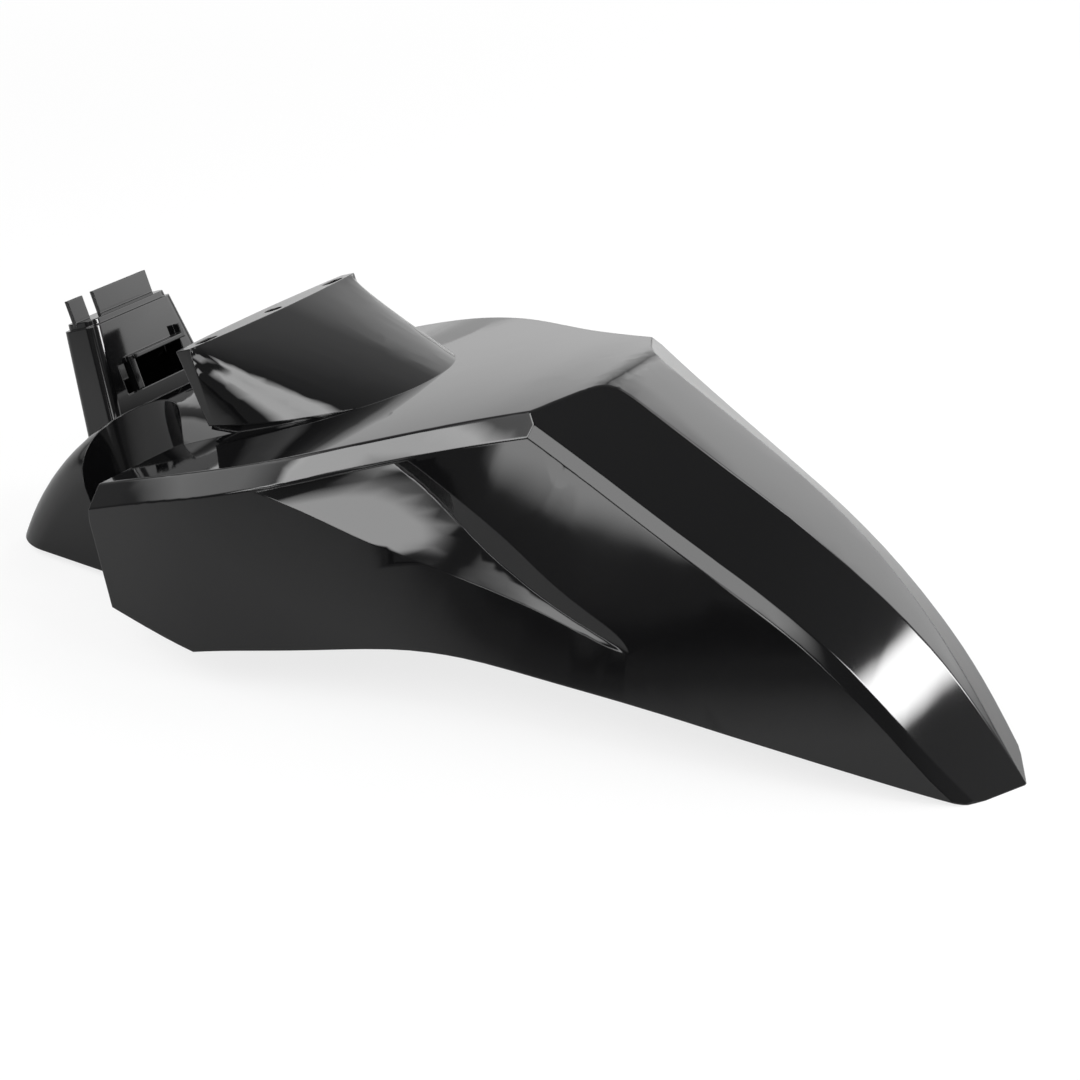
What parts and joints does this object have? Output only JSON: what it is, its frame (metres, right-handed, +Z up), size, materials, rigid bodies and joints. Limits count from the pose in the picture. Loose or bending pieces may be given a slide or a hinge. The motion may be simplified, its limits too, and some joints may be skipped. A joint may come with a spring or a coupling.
{
  "type": "scooter front fender",
  "caption": "Gloss black moulded scooter front fender: creased pointed beak, scooped flanks, raised mounting tower with slots, fork-leg notches, and a tail with a clip tower.",
  "frame": {"origin": "middle of the underside of the box round the part", "axes": "X runs forward along the wheel to the nose, Y to the rider's left, Z up"},
  "size_m": [0.5684, 0.2784, 0.1579],
  "materials": {
    "fender": "polished gloss black, moulded in colour"
  },
  "bodies": {
    "root": {"front_fender": "fender"}
  },
  "joints": []
}
